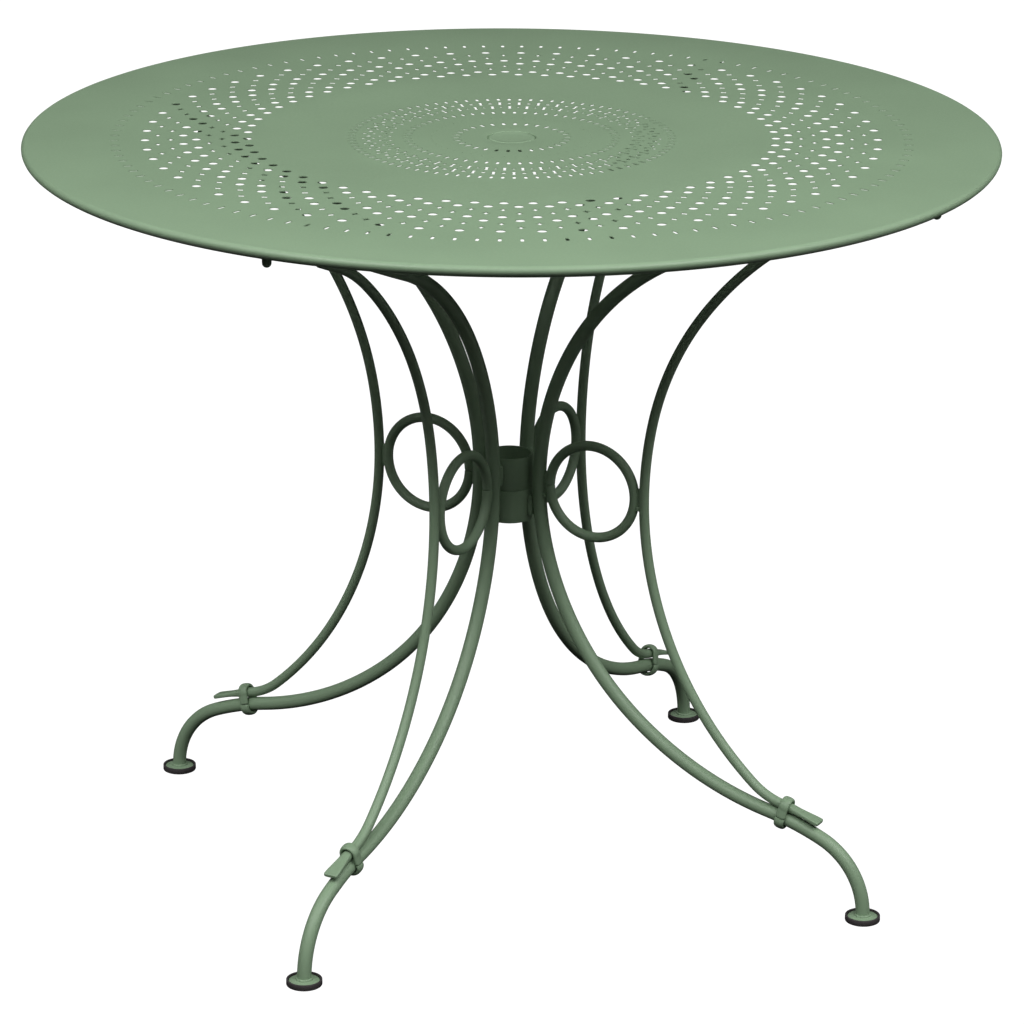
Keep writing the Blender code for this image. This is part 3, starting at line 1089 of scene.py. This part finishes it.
def build_floor():
    """White floor that glows for the camera only and lights nothing."""
    bm = bmesh.new()
    bmesh.ops.create_circle(bm, cap_ends=True, segments=96, radius=FLOOR_R)
    mesh = bpy.data.meshes.new("floor")
    bm.to_mesh(mesh)
    bm.free()
    mat = bpy.data.materials.new("pale_floor")
    mat.use_nodes = True
    bsdf = mat.node_tree.nodes["Principled BSDF"]
    bsdf.inputs["Base Color"].default_value = (0.0, 0.0, 0.0, 1.0)
    bsdf.inputs["Roughness"].default_value = 0.9
    bsdf.inputs["Specular IOR Level"].default_value = 0.0
    bsdf.inputs["Emission Color"].default_value = (1.0, 1.0, 1.0, 1.0)
    bsdf.inputs["Emission Strength"].default_value = FLOOR_GLOW
    mesh.materials.append(mat)
    floor = bpy.data.objects.new("floor", mesh)
    bpy.context.scene.collection.objects.link(floor)
    floor.visible_diffuse = False
    floor.visible_glossy = False


def level_ramp(tree, height, rows):
    """Light level against height on the unit sphere, scaled into 0..1."""
    peak = max(level for _, level in rows)
    ramp = tree.nodes.new("ShaderNodeValToRGB")
    stops = ramp.color_ramp.elements
    while len(stops) < len(rows):
        stops.new(0.5)
    for stop, (at, level) in zip(stops, rows):
        stop.position = (at + 1) / 2
        stop.color = (level / peak, level / peak, level / peak, 1.0)
    tree.links.new(height, ramp.inputs["Fac"])
    return ramp.outputs["Color"], peak


def build_world(front):
    """The wall of light, strongest where it faces the camera's side."""
    world = bpy.data.worlds.new("studio")
    bpy.context.scene.world = world
    world.use_nodes = True
    tree = world.node_tree
    where = tree.nodes.new("ShaderNodeTexCoord").outputs["Generated"]
    split = tree.nodes.new("ShaderNodeSeparateXYZ")
    tree.links.new(where, split.inputs["Vector"])
    height = calculate(tree, "MULTIPLY_ADD", split.outputs["Z"], 0.5, 0.5)
    dot = tree.nodes.new("ShaderNodeVectorMath")
    dot.operation = "DOT_PRODUCT"
    dot.inputs[1].default_value = front
    tree.links.new(where, dot.inputs[0])
    facing = dot.outputs["Value"]
    behind = calculate(tree, "MULTIPLY", facing, -WALL_BEHIND)
    share = calculate(tree, "MAXIMUM", facing, behind)
    wall, peak = level_ramp(tree, height, WALL)
    wall = calculate(tree, "MULTIPLY", wall, peak)
    wall = calculate(tree, "MULTIPLY", wall, share)
    total = calculate(tree, "ADD", wall, ROOM_GLOW)
    tree.links.new(total, tree.nodes["Background"].inputs["Color"])


def build_light():
    a = math.radians(CAM_AZ)
    front = Vector((math.cos(a), math.sin(a), 0.0))
    right = Vector((-math.sin(a), math.cos(a), 0.0))
    build_world(front)
    for ahead, aside, height, aim_z, size, watts in SOFTBOXES:
        lamp = bpy.data.lights.new("softbox", "AREA")
        lamp.shape = "SQUARE"
        lamp.size = size
        lamp.energy = watts
        softbox = bpy.data.objects.new("softbox", lamp)
        softbox.location = front * ahead + right * aside + Vector((0.0, 0.0, height))
        aim = Vector((0.0, 0.0, aim_z)) - softbox.location
        softbox.visible_camera = False
        softbox.rotation_mode = "QUATERNION"
        softbox.rotation_quaternion = aim.to_track_quat("-Z", "Y")
        bpy.context.scene.collection.objects.link(softbox)
    bpy.context.scene.view_settings.view_transform = "Standard"


def main():
    build_camera()
    build_floor()
    build_light()
    build_top_sheet()
    build_plug()
    build_sleeves()
    for number in LEGS:
        build_leg_rod(number)
        build_brace(number)
        build_scroll(number)
        build_collar(number)
        build_foot(number)
        build_fixing(number)
        build_welds(number)


main()
